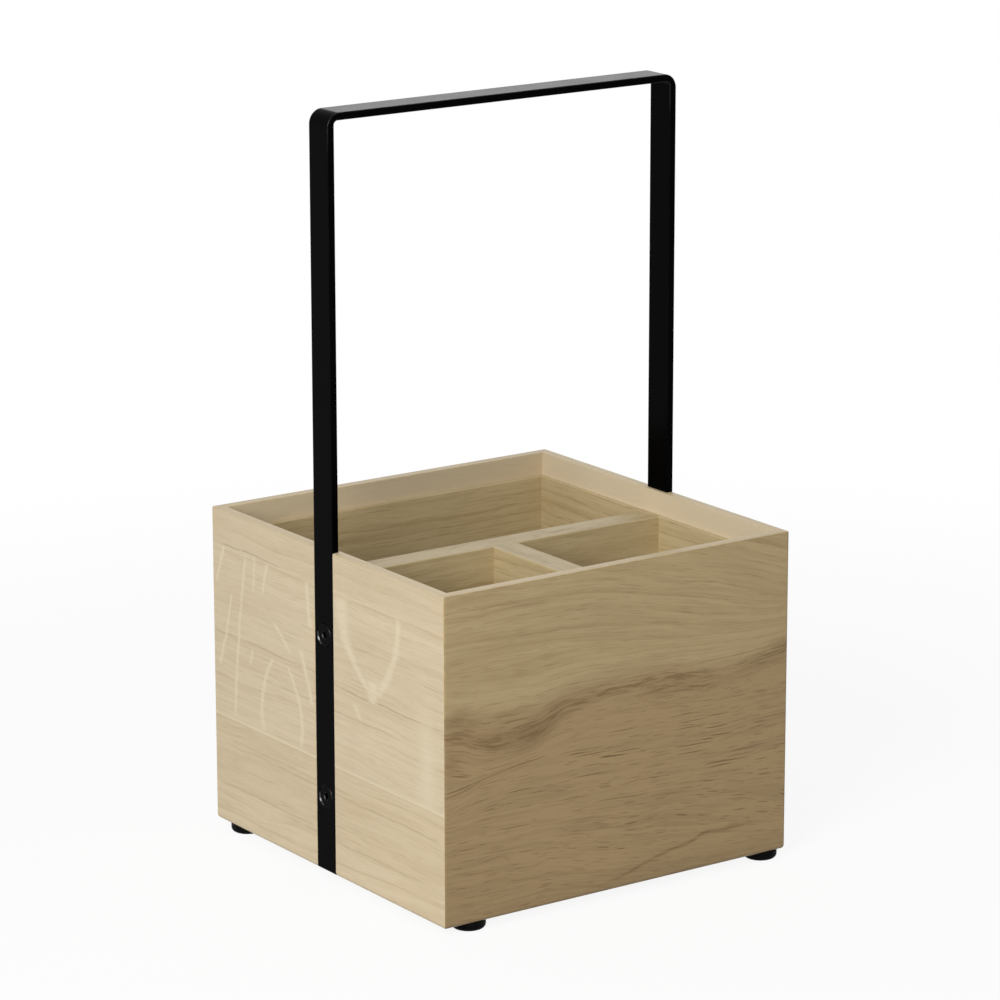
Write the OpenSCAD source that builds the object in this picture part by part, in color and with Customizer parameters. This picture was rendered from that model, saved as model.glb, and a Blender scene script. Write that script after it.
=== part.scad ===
// Oak table caddy: a square box with three compartments, carried by a bent flat-bar handle.
// Millimetres. +Z is up, the front wall faces -Y, and z = 0 is the plane the feet stand on.

/* [Box] */
// Width of the wooden box, left to right
body_w = 190; // [150:1:260]
// Depth of the wooden box, front to back
body_d = 190; // [150:1:260]
// Height of the wooden box without its feet
body_h = 151.5; // [130:0.5:220]
// Thickness of the four wall boards
wall_t = 5.5; // [5.5:0.25:9]
// Thickness of the base board
base_t = 8; // [6:0.5:12]
// Height of the glue line between the two staves of a side wall
stave_h = 52; // [46:1:98]

/* [Edges] */
// Radius along the bottom edges of the walls
bottom_r = 2; // [0.5:0.25:3]
// Radius up the four outer corners
corner_r = 1.25; // [0.5:0.25:3]
// Radius along the outer edge of the rim
rim_outer_r = 0.75; // [0.25:0.25:1.5]
// Radius along the inner edge of the rim
rim_inner_r = 0.5; // [0.25:0.25:1.5]

/* [Lining and dividers] */
// Thickness of the lining boards
lining_t = 2; // [1.5:0.25:4]
// Depth of the lining's top edge, and the dividers' tops, below the rim
lining_drop = 11; // [4:0.5:20]
// Bevel along the lining's top edges
lining_bevel = 0.4; // [0.2:0.1:0.6]
// Thickness of both dividers
divider_t = 13.5; // [12:0.5:18]
// Distance of the long divider's middle behind the middle of the box
long_divider_y = 0; // [-2:0.5:2]
// Distance of the cross divider's middle right of the middle of the box
cross_divider_x = 0; // [-30:1:30]
// Depth of the housing that holds the cross divider's back end
housing_d = 3; // [1:0.5:4]
// Radius along the top edges of the dividers
divider_r = 0.6; // [0.25:0.05:1.5]

/* [Handle] */
// Width of the flat bar
strap_w = 15; // [12:0.5:20]
// Thickness of the flat bar
strap_t = 3.5; // [2:0.25:4]
// Height of the handle's top above the rim
handle_rise = 197.5; // [90:0.5:260]
// Radius inside each bend
bend_r = 2; // [1:0.25:20]
// Further radius outside each bend, where the steel stretches
bend_stretch = 1; // [0:0.25:2]
// Length by which the bar stops short of the wall's lower edge
strap_end_gap = 0.5; // [0:0.25:3]
// Clearance on each side of the bar in its groove
groove_clear = 0.1; // [0.05:0.05:0.3]
// Bevel across the two lower ends of the bar
strap_bevel = 0.5; // [0.25:0.25:1]

/* [Screws] */
// Height of the lower screws above the wall's lower edge
screw_low_z = 36; // [24:1:40]
// Height of the upper screws above the wall's lower edge
screw_high_z = 112; // [105:1:118]
// Diameter of the screw's shank
shank_d = 5; // [4:0.5:6]
// Length of the screw, head and all
screw_l = 20; // [16:1:30]
// Bevel at the screw's tip
shank_bevel = 0.6; // [0.2:0.1:1]
// Diameter of the screw's countersunk head
head_d = 10; // [8.5:0.25:11.5]
// Height of the straight rim round the head's edge
head_rim_h = 0.25; // [0.1:0.05:0.4]
// Depth of the head's flat top below the bar's outer face
head_sink = 0.2; // [0.05:0.05:0.5]
// Clearance between the head and its countersink
head_clear = 0.1; // [0.05:0.05:0.2]
// Size across the flats of the hexagon socket
socket_af = 3; // [2.5:0.5:4]
// Depth of the hexagon socket
socket_depth = 1.9; // [1:0.1:2]
// Clearance all round a screw in its holes
hole_clear = 0.25; // [0.1:0.05:0.5]
// Outer diameter of the threaded inserts
insert_d = 8; // [7.5:0.25:9]
// Length of the threaded inserts
insert_l = 13; // [10:1:16]
// Clearance between a screw and its insert
insert_clear = 0.05; // [0.02:0.01:0.1]
// Clearance between an insert and the divider round it
insert_seat_clear = 0.03; // [0.02:0.01:0.1]
// Room left past the screw's tip
tip_room = 3; // [1:0.5:6]

/* [Feet] */
// Diameter of a rubber foot
foot_d = 15.6; // [12:0.2:18]
// Height of a rubber foot
foot_h = 4.5; // [3:0.25:8]
// Radius round a foot's lower edge
foot_r = 2.1; // [0.5:0.1:2.5]
// Front left foot, distance of its middle from the left wall and from the front wall
foot_fl = [18.4, 8.5]; // [8:0.1:30]
// Front right foot, distance of its middle from the right wall and from the front wall
foot_fr = [8.2, 8.2]; // [8:0.1:30]
// Back left foot, distance of its middle from the left wall and from the back wall
foot_bl = [8.9, 13.3]; // [8:0.1:30]
// Back right foot, distance of its middle from the right wall and from the back wall
foot_br = [11, 11]; // [8:0.1:30]

/* [Hidden] */
$fn = 64;
over = 1;
half_w = body_w / 2;
half_d = body_d / 2;
wood_z = foot_h;
rim_z = wood_z + body_h;
floor_z = wood_z + base_t;
lining_z = rim_z - lining_drop;
lining_h = lining_z - floor_z;
inner_w = body_w - 2 * wall_t;
inner_d = body_d - 2 * wall_t;
cell_w = inner_w - 2 * lining_t;
cell_d = inner_d - 2 * lining_t;
handle_z = rim_z + handle_rise;
strap_end_z = wood_z + strap_end_gap;
hole_d = shank_d + 2 * hole_clear;
screw_zs = [wood_z + screw_low_z, wood_z + screw_high_z];
insert_x = cell_w / 2;
tip_x = half_w - head_sink - screw_l;
countersink_d = head_d + 2 * (head_sink + head_rim_h + head_clear * sqrt(2));
insert_hole_l = max(insert_l, insert_x - tip_x + tip_room);
oak_pale = [0.84, 0.76, 0.62];
oak_tan = [0.71, 0.61, 0.46];
oak_inner = [0.78, 0.69, 0.53];
steel_black = [0.09, 0.09, 0.09];
rubber_black = [0.05, 0.05, 0.05];
brass = [0.78, 0.62, 0.32];

// What is cut away to round a square corner that points to +x and +y.
module corner_cut(r) {
    difference() {
        translate([-r, -r]) square(r + over);
        translate([-r, -r]) circle(r);
    }
}

// Section of a wall board: x runs from the outer face at 0 inwards, y runs up.
module wall_section() {
    difference() {
        square([wall_t, body_h]);
        rotate(180) corner_cut(bottom_r);
        translate([0, body_h]) mirror([1, 0]) corner_cut(rim_outer_r);
        translate([wall_t, body_h]) corner_cut(rim_inner_r);
    }
}

// The countersunk hole for a screw, cut from the bar's outer face at z = 0 down to a depth along z.
module screw_hole(depth) {
    translate([0, 0, -over]) cylinder(d = hole_d, h = depth + over);
    translate([0, 0, -over]) cylinder(d1 = countersink_d + 2 * over, d2 = 0, h = countersink_d / 2 + over);
}

// A wall board in the place of the front wall, with its length along x.
module wall_board(length, depth) {
    difference() {
        translate([-length / 2, -depth / 2, wood_z])
            rotate([90, 0, 90]) linear_extrude(length) wall_section();
        for (side = [-1, 1])
            translate([side * length / 2, -depth / 2, wood_z - over]) {
                rotate(side > 0 ? 45 : 135) translate([0, -3 * wall_t, 0])
                    cube([3 * wall_t, 6 * wall_t, body_h + 2 * over]);
                rotate(side > 0 ? -90 : 180) linear_extrude(body_h + 2 * over)
                    corner_cut(corner_r);
            }
    }
}

// A side wall as one board, in the place of the left wall (side = -1) or the right wall (side = 1).
module side_wall(side) {
    difference() {
        rotate(side * 90) wall_board(body_d, body_w);
        translate([side * half_w, 0, wood_z - over]) translate([-strap_t, -strap_w / 2 - groove_clear, 0])
            cube([2 * strap_t, strap_w + 2 * groove_clear, body_h + 2 * over]);
        for (z = screw_zs)
            translate([side * half_w, 0, z])
                rotate([0, -side * 90, 0]) screw_hole(wall_t + over);
    }
}

// Keeps what lies below the glue line.
module below_glue_line() {
    translate([-body_w, -body_d, wood_z - over])
        cube([2 * body_w, 2 * body_d, stave_h + over]);
}

module side_upper(side) {
    color(oak_pale) difference() {
        side_wall(side);
        below_glue_line();
    }
}

module side_lower(side) {
    color(oak_pale) intersection() {
        side_wall(side);
        below_glue_line();
    }
}

module front_panel() {
    color(oak_tan) wall_board(body_w, body_d);
}

module back_panel() {
    color(oak_tan) rotate(180) wall_board(body_w, body_d);
}

module base_panel() {
    color(oak_inner) translate([-inner_w / 2, -inner_d / 2, wood_z])
        cube([inner_w, inner_d, base_t]);
}

// Section of a lining board, standing on the base with both top edges bevelled.
module lining_section() {
    polygon([
        [0, 0], [lining_t, 0],
        [lining_t, lining_h - lining_bevel], [lining_t - lining_bevel, lining_h],
        [lining_bevel, lining_h], [0, lining_h - lining_bevel]
    ]);
}

module lining_board(length) {
    translate([-length / 2, 0, floor_z])
        rotate([90, 0, 90]) linear_extrude(length) lining_section();
}

module lining_front() {
    color(oak_inner) translate([0, -inner_d / 2, 0]) lining_board(cell_w);
}

module lining_back() {
    color(oak_inner) translate([0, cell_d / 2, 0]) lining_board(cell_w);
}

module lining_side(side) {
    color(oak_inner) difference() {
        translate([side * (inner_w - lining_t) / 2, 0, 0])
            rotate(90) translate([0, -lining_t / 2, 0]) lining_board(inner_d);
        for (z = screw_zs)
            translate([side * (half_w - wall_t + over), 0, z])
                rotate([0, -side * 90, 0]) cylinder(d = hole_d, h = lining_t + 2 * over);
    }
}

// Section of a divider, centred on x and standing on the base, with rounded top edges.
module divider_section() {
    difference() {
        translate([-divider_t / 2, 0]) square([divider_t, lining_h]);
        translate([divider_t / 2, lining_h]) corner_cut(divider_r);
        translate([-divider_t / 2, lining_h]) mirror([1, 0]) corner_cut(divider_r);
    }
}

module long_divider() {
    color(oak_inner) difference() {
        translate([-cell_w / 2, long_divider_y, floor_z])
            rotate([90, 0, 90]) linear_extrude(cell_w) divider_section();
        translate([cross_divider_x - divider_t / 2, long_divider_y - divider_t / 2 - over, floor_z - over])
            cube([divider_t, housing_d + over, lining_h + 2 * over]);
        for (side = [-1, 1], z = screw_zs)
            translate([side * (insert_x + over), 0, z]) rotate([0, -side * 90, 0]) {
                cylinder(d = insert_d + 2 * insert_seat_clear, h = insert_l + over);
                cylinder(d = hole_d, h = insert_hole_l + over);
            }
    }
}

module cross_divider() {
    front_y = -cell_d / 2;
    back_y = long_divider_y - divider_t / 2 + housing_d;
    color(oak_inner) translate([cross_divider_x, back_y, floor_z])
        rotate([90, 0, 0]) linear_extrude(back_y - front_y) divider_section();
}

// Front view of an arch with rounded shoulders, from the bar's lower ends up.
module arch(half, top, r) {
    difference() {
        translate([-half, strap_end_z]) square([2 * half, top - strap_end_z]);
        translate([half, top]) corner_cut(r);
        translate([-half, top]) mirror([1, 0]) corner_cut(r);
    }
}

module handle_strap() {
    bevel_size = strap_bevel * sqrt(2);
    color(steel_black) difference() {
        translate([0, strap_w / 2, 0]) rotate([90, 0, 0]) linear_extrude(strap_w) difference() {
            arch(half_w, handle_z, bend_r + strap_t + bend_stretch);
            translate([0, -over]) arch(half_w - strap_t, handle_z - strap_t + over, bend_r);
        }
        for (side = [-1, 1]) {
            for (z = screw_zs)
                translate([side * half_w, 0, z])
                    rotate([0, -side * 90, 0]) screw_hole(strap_t + over);
            translate([side * half_w, 0, strap_end_z]) rotate([0, 45, 0])
                cube([bevel_size, strap_w + 2 * over, bevel_size], center = true);
        }
    }
}

// A screw with its axis along z, in its place below the bar's outer face at z = 0.
module screw() {
    color(steel_black) translate([0, 0, head_sink]) difference() {
        rotate_extrude() polygon([
            [0, 0], [head_d / 2, 0], [head_d / 2, head_rim_h],
            [shank_d / 2, head_rim_h + (head_d - shank_d) / 2],
            [shank_d / 2, screw_l - shank_bevel],
            [shank_d / 2 - shank_bevel, screw_l], [0, screw_l]
        ]);
        translate([0, 0, -over])
            cylinder(d = socket_af / cos(30), h = socket_depth + over, $fn = 6);
    }
}

module screw_at(side, z) {
    translate([side * half_w, 0, z]) rotate([0, -side * 90, 0]) screw();
}

module insert_at(side, z) {
    bore_d = shank_d + 2 * insert_clear;
    color(brass) translate([side * insert_x, 0, z]) rotate([0, -side * 90, 0])
        difference() {
            cylinder(d = insert_d, h = insert_l);
            translate([0, 0, -over]) cylinder(d = bore_d, h = insert_l + 2 * over);
        }
}

module foot() {
    color(rubber_black) rotate_extrude() difference() {
        square([foot_d / 2, foot_h]);
        translate([foot_d / 2, 0]) mirror([0, 1]) corner_cut(foot_r);
    }
}

module foot_at(side_x, side_y, inset) {
    translate([side_x * (half_w - inset[0]), side_y * (half_d - inset[1]), 0]) foot();
}

front_panel();
back_panel();
side_upper(-1);  // left_panel_upper
side_lower(-1);  // left_panel_lower
side_upper(1);  // right_panel_upper
side_lower(1);  // right_panel_lower
base_panel();
lining_front();
lining_back();
lining_side(-1);  // lining_left
lining_side(1);  // lining_right
long_divider();
cross_divider();
handle_strap();
screw_at(-1, screw_zs[1]);  // screw_left_upper
screw_at(-1, screw_zs[0]);  // screw_left_lower
screw_at(1, screw_zs[1]);  // screw_right_upper
screw_at(1, screw_zs[0]);  // screw_right_lower
insert_at(-1, screw_zs[1]);  // insert_left_upper
insert_at(-1, screw_zs[0]);  // insert_left_lower
insert_at(1, screw_zs[1]);  // insert_right_upper
insert_at(1, screw_zs[0]);  // insert_right_lower
foot_at(-1, -1, foot_fl);  // foot_front_left
foot_at(1, -1, foot_fr);  // foot_front_right
foot_at(-1, 1, foot_bl);  // foot_back_left
foot_at(1, 1, foot_br);  // foot_back_right
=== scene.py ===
"""The looks of an oak table caddy with a black steel carrying handle, built round its fixed frame."""

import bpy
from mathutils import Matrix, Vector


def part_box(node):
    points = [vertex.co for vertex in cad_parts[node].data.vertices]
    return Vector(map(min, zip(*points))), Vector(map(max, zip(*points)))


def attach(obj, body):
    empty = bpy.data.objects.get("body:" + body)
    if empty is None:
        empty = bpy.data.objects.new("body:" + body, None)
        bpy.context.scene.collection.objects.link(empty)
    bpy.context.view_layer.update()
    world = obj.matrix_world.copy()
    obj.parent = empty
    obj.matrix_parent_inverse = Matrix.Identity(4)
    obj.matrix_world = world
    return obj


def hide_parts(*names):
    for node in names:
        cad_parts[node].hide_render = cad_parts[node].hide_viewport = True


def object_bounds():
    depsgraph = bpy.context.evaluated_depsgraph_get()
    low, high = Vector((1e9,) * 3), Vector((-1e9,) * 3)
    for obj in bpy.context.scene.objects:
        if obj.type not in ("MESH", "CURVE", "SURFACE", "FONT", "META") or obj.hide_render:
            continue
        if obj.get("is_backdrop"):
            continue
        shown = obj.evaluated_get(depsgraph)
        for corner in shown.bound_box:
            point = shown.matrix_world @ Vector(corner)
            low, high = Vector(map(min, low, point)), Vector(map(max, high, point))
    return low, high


bl_info = {
    "name": "Oak table caddy",
    "version": (1, 0, 0),
    "blender": (4, 5, 0),
    "location": "3D View > Sidebar > Caddy",
    "description": "Models and finishes the boards, handle, screws and feet of an oak table caddy",
    "category": "Object",
}

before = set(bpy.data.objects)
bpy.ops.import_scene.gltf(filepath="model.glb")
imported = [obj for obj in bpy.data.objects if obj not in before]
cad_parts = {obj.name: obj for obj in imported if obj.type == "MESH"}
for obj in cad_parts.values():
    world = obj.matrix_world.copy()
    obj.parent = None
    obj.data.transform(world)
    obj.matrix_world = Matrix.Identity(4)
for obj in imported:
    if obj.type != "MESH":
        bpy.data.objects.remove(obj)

import inspect
from math import cos, pi, radians, sin, sqrt

import bmesh
import bpy
from bpy.props import FloatProperty, FloatVectorProperty, PointerProperty
from mathutils import Matrix, Vector

MM = 0.001
CAD_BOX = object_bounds()
FRONT_LOW, FRONT_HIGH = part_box("front_panel")
STRAP_LOW, STRAP_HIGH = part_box("handle_strap")
HALF_W, HALF_D = STRAP_HIGH.x, -FRONT_LOW.y
WOOD_Z, RIM_Z = FRONT_LOW.z, FRONT_HIGH.z
WALL_T = FRONT_HIGH.y - FRONT_LOW.y
GLUE_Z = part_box("left_panel_upper")[0].z
GLUE_Z_MM, RIM_TOP_MM = (GLUE_Z - WOOD_Z) / MM, (RIM_Z - WOOD_Z) / MM
STRAP_W, STRAP_T = STRAP_HIGH.y - STRAP_LOW.y, 3.5 * MM
SCREW_NODES = ("screw_left_upper", "screw_left_lower", "screw_right_upper", "screw_right_lower")
FOOT_NODES = ("foot_front_left", "foot_front_right", "foot_back_left", "foot_back_right")
INSERT_NODES = tuple(name.replace("screw", "insert") for name in SCREW_NODES)


# Sizes and colours that a user may change


def length(name, what, millimetres):
    return FloatProperty(
        name=name, description=what, default=millimetres * MM, min=0.0, unit="LENGTH", precision=5
    )


def colour(name, what, *rgb):
    return FloatVectorProperty(
        name=name, description=what, default=rgb, size=3, min=0.0, max=1.0, subtype="COLOR"
    )


def number(name, what, value, most=1.0):
    return FloatProperty(name=name, description=what, default=value, min=0.0, max=most)


def power(name, what, watts):
    return FloatProperty(name=name, description=what, default=watts, min=0.0, unit="POWER")


class CADDY_PG_boards(bpy.types.PropertyGroup):
    bottom_radius: length("Bottom radius", "Radius along the lower edges of the walls", 2.0)
    corner_radius: length("Corner radius", "Radius up the four outer corners", 1.25)
    rim_outer_radius: length("Rim outer radius", "Radius along the rim's outer edge", 0.75)
    rim_inner_radius: length("Rim inner radius", "Radius along the rim's inner edge", 0.5)
    groove_play: length("Groove play", "Play between the bar and each side of its groove", 0.1)
    groove_arris: length("Groove arris", "Radius of the softened edges beside the handle's groove", 0.35)
    screw_hole: length("Screw hole", "Diameter of the screws' holes through the walls", 5.5)
    pale_oak: colour("Pale oak", "Late wood of the side walls", 0.640, 0.530, 0.362)
    pale_early: colour("Pale early wood", "Early wood of the side walls", 0.540, 0.430, 0.275)
    pale_pore: colour("Pale pores", "Open pores of the side walls", 0.36, 0.27, 0.155)
    fleck: colour("Ray fleck", "Ray fleck on the side walls", 0.720, 0.625, 0.450)
    tan_oak: colour("Tan oak", "Late wood of the front and back walls", 0.472, 0.356, 0.187)
    tan_early: colour("Tan early wood", "Early wood of the front and back walls", 0.369, 0.267, 0.130)
    tan_pore: colour("Tan pores", "Open pores of the front and back walls", 0.170, 0.100, 0.040)
    heart_oak: colour("Heartwood", "Wood below the dark streak of the front wall", 0.388, 0.271, 0.134)
    # Painted light: the rim's top face gets a paler, yellower colour than the boards, for the light from above
    rim_oak: colour("Rim", "Top face of the rim", 0.700, 0.560, 0.345)
    # Painted light: the walls' inner faces get a paler colour, for the lamp's light inside the box
    inner_face: colour("Inner face", "Inner faces of the right and back walls", 0.740, 0.620, 0.430)
    streak: colour("Dark streak", "Dark streak across the front wall", 0.190, 0.112, 0.044)
    # Partly painted shade: the boards inside are darker and yellower, for the box's shaded interior as well as
    # their own tone
    inner_oak: colour("Inner oak", "Late wood inside the box", 0.570, 0.455, 0.255)
    inner_early: colour("Inner early wood", "Early wood inside the box", 0.440, 0.330, 0.165)


class CADDY_PG_handle(bpy.types.PropertyGroup):
    edge_radius: length("Edge radius", "Radius along the bar's long edges", 0.4)
    bend_radius: length("Bend radius", "Radius inside each bend", 2.0)
    bend_stretch: length("Bend stretch", "Further radius outside each bend, where the steel stretches", 1.0)
    countersink: length("Countersink", "Diameter of a screw's countersink at the bar's outer face", 11.18)
    end_bevel: length("End bevel", "Bevel across the bar's lower ends", 0.5)
    coat: colour("Powder coat", "Colour of the bar's powder coat", 0.0010, 0.0010, 0.0010)
    roughness: number("Roughness", "Roughness of the powder coat", 0.20)


class CADDY_PG_screws(bpy.types.PropertyGroup):
    head_width: length("Head width", "Diameter of a screw's countersunk head", 10.0)
    head_rim: length("Head rim", "Height of the rounded rim of a screw's head", 0.25)
    shank_width: length("Shank width", "Diameter over a screw's thread", 5.0)
    thread_pitch: length("Thread pitch", "Rise of the thread for each turn", 0.8)
    socket_width: length("Socket width", "Width across the flats of the hexagon socket", 3.0)
    socket_depth: length("Socket depth", "Depth of the hexagon socket", 1.9)
    plating: colour("Plating", "Colour of the screws' black plating", 0.002, 0.002, 0.002)
    brass: colour("Brass", "Colour of the threaded inserts", 0.72, 0.50, 0.20)


class CADDY_PG_feet(bpy.types.PropertyGroup):
    lower_radius: length("Lower radius", "Radius round a foot's lower edge", 2.1)
    upper_radius: length("Upper radius", "Radius round a foot's upper edge", 0.35)
    rubber: colour("Rubber", "Colour of the rubber feet", 0.0035, 0.0035, 0.0035)


class CADDY_PG_studio(bpy.types.PropertyGroup):
    sky: number("Sky", "Strength of the even light from all round", 0.355, 4.0)
    key_power: power("Key lamp", "Power of the soft lamp on the left", 24.0)
    back_power: power("Back lamp", "Power of the low lamp behind, which shines on the bar's top", 1.4)
    floor: colour("Floor", "Colour of the plain floor, for the light that it sends back", 0.65, 0.65, 0.65)


SETTINGS = {
    kind.__name__.replace("CADDY_PG", "caddy"): kind
    for kind in (CADDY_PG_boards, CADDY_PG_handle, CADDY_PG_screws, CADDY_PG_feet, CADDY_PG_studio)
}


# Node trees


def arithmetic(operation):
    """An operator of Value, and the same with the value on its right."""
    return (
        lambda self, other: self.net.math(operation, self, other),
        lambda self, other: self.net.math(operation, other, self),
    )


class Value:
    """A shader socket. Arithmetic on it adds a Math node and gives back that node's value."""

    def __init__(self, net, socket):
        self.net, self.socket = net, socket

    __add__, __radd__ = arithmetic("ADD")
    __sub__, __rsub__ = arithmetic("SUBTRACT")
    __mul__, __rmul__ = arithmetic("MULTIPLY")
    __truediv__, __rtruediv__ = arithmetic("DIVIDE")


class Net:
    """Writes a shader node tree a step at a time. Every step gives back the value that it makes."""

    def __init__(self, tree):
        self.tree = tree

    def put(self, socket, value):
        if isinstance(value, Value):
            self.tree.links.new(value.socket, socket)
        elif hasattr(value, "__len__") and socket.type == "RGBA" and len(value) == 3:
            socket.default_value = (*value, 1.0)
        else:
            socket.default_value = value

    def fill(self, sockets, **values):
        """Puts each value into the socket of its name, with spaces for its underscores."""
        for name, value in values.items():
            self.put(sockets[name.replace("_", " ")], value)

    def node(self, kind, **settings):
        made = self.tree.nodes.new("ShaderNode" + kind)
        for name, value in settings.items():
            setattr(made, name, value)
        return made

    def find(self, kind):
        return next(node for node in self.tree.nodes if node.type == kind)

    def outputs(self, node):
        """A node's outputs by name. A group's input node ends with an output that has none."""
        return {socket.name: Value(self, socket) for socket in node.outputs if socket.name}

    def step(self, kind, *values, output=0, **settings):
        """A node with these values in its first inputs. Gives back one of its outputs."""
        made = self.node(kind, **settings)
        for socket, value in zip(made.inputs, values):
            self.put(socket, value)
        return Value(self, made.outputs[output])

    def here(self):
        return self.step("TexCoord", output="Object")

    def edge(self):
        return self.step("Attribute", output="Fac", attribute_name="edge")

    def axes(self, at):
        """A point's distances along X, Y and Z."""
        made = self.node("SeparateXYZ")
        self.put(made.inputs[0], at)
        return self.outputs(made)

    def math(self, operation, *values, clamp=False):
        return self.step("Math", *values, operation=operation, use_clamp=clamp)

    def most(self, *values):
        top = values[0]
        for value in values[1:]:
            top = self.math("MAXIMUM", top, value)
        return top

    def bell(self, distance, width):
        """1 where the distance is 0, falling away smoothly over the width."""
        share = distance / width
        return self.math("EXPONENT", share * share * -1.0)

    def ramp(self, value, low, high, out_low=0.0, out_high=1.0):
        made = self.node("MapRange", interpolation_type="SMOOTHSTEP")
        self.fill(made.inputs, Value=value, From_Min=low, From_Max=high, To_Min=out_low, To_Max=out_high)
        return Value(self, made.outputs[0])

    def distance(self, x, y):
        return self.math("SQRT", x * x + y * y)

    def vector(self, *values):
        return self.step("CombineXYZ", *values)

    def noise(self, at, detail=2.0, roughness=0.5, scale=1.0):
        made = self.node("TexNoise")
        self.fill(made.inputs, Vector=at, Scale=scale, Detail=detail, Roughness=roughness)
        return Value(self, made.outputs["Fac"])

    def cloud(self, point, sizes, detail=2.0, roughness=0.5):
        """Noise with features of these sizes, one for each direction of the point."""
        at = self.vector(*(value / size for value, size in zip(point, sizes)))
        return self.noise(at, detail, roughness)

    def dashes(self, along, across, long, apart, least, most):
        """Thin dashes along the grain, one in each cell of this length and width.
        Each has its own size, from least to most, and its own strength."""
        made = self.node("TexVoronoi", voronoi_dimensions="2D", feature="F1")
        self.fill(made.inputs, Scale=1.0, Vector=self.vector(along / long, across / apart))
        split = self.node("SeparateColor")
        found = self.outputs(made)
        self.put(split.inputs[0], found["Color"])
        chance, strength = list(self.outputs(split).values())[:2]
        size = self.ramp(chance, 0.0, 1.0, least, most)
        body = self.ramp(found["Distance"] / size, 1.0, 0.45)
        return body * self.ramp(strength, 0.15, 0.85)

    def chance(self, value):
        made = self.node("TexWhiteNoise", noise_dimensions="1D")
        self.put(made.inputs["W"], value)
        return Value(self, made.outputs["Value"])

    def blend(self, factor, a, b, how="MIX"):
        made = self.node("Mix", data_type="RGBA", blend_type=how)
        for socket, value in ((made.inputs[0], factor), (made.inputs[6], a), (made.inputs[7], b)):
            self.put(socket, value)
        return Value(self, made.outputs[2])

    def tint(self, shade, *by):
        """A colour multiplied by another."""
        return self.blend(1.0, shade, by, "MULTIPLY")

    def curve(self, value, points):
        """A smooth curve through the points, from the first one's place to the last one's."""
        low, high = points[0][0], points[-1][0]
        ys = [y for _, y in points]
        bottom, top = min(ys), max(ys)
        made = self.node("FloatCurve")
        line = made.mapping.curves[0]
        spots = [((x - low) / (high - low), (y - bottom) / (top - bottom)) for x, y in points]
        for spot in spots[1:-1]:
            line.points.new(*spot)
        line.points[0].location, line.points[-1].location = spots[0], spots[-1]
        made.mapping.update()
        self.put(made.inputs["Value"], (value - low) / (high - low))
        return Value(self, made.outputs[0]) * (top - bottom) + bottom

    def bump(self, height, depth, strength=1.0):
        made = self.node("Bump")
        self.fill(made.inputs, Distance=depth, Strength=strength, Height=height)
        return Value(self, made.outputs["Normal"])


def node_group(name):
    """Turns a function that draws a node group into one that places the group in a net.
    The function's arguments and their defaults are the group's inputs, colours where they are tuples, and it
    gives back the outputs by name. The group is drawn the first time that it is placed."""

    def interface(tree, name, way, is_colour):
        label = name.replace("_", " ").capitalize()
        kind = "NodeSocketColor" if is_colour else "NodeSocketFloat"
        return tree.interface.new_socket(label, in_out=way, socket_type=kind)

    def wrap(draw):
        def make():
            tree = bpy.data.node_groups.new(name, "ShaderNodeTree")
            net = Net(tree)
            arguments = list(inspect.signature(draw).parameters.values())[1:]
            for each in arguments:
                is_colour = isinstance(each.default, tuple)
                socket = interface(tree, each.name, "INPUT", is_colour)
                socket.default_value = (*each.default, 1.0) if is_colour else each.default
            outputs = draw(net, *net.outputs(tree.nodes.new("NodeGroupInput")).values())
            for label in outputs:
                interface(tree, label, "OUTPUT", label == "Color")
            net.fill(tree.nodes.new("NodeGroupOutput").inputs, **outputs)
            return tree

        def place(net, **values):
            made = net.node("Group", node_tree=bpy.data.node_groups.get(name) or make())
            net.fill(made.inputs, **{key.capitalize(): value for key, value in values.items()})
            return net.outputs(made)

        return place

    return wrap


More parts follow.
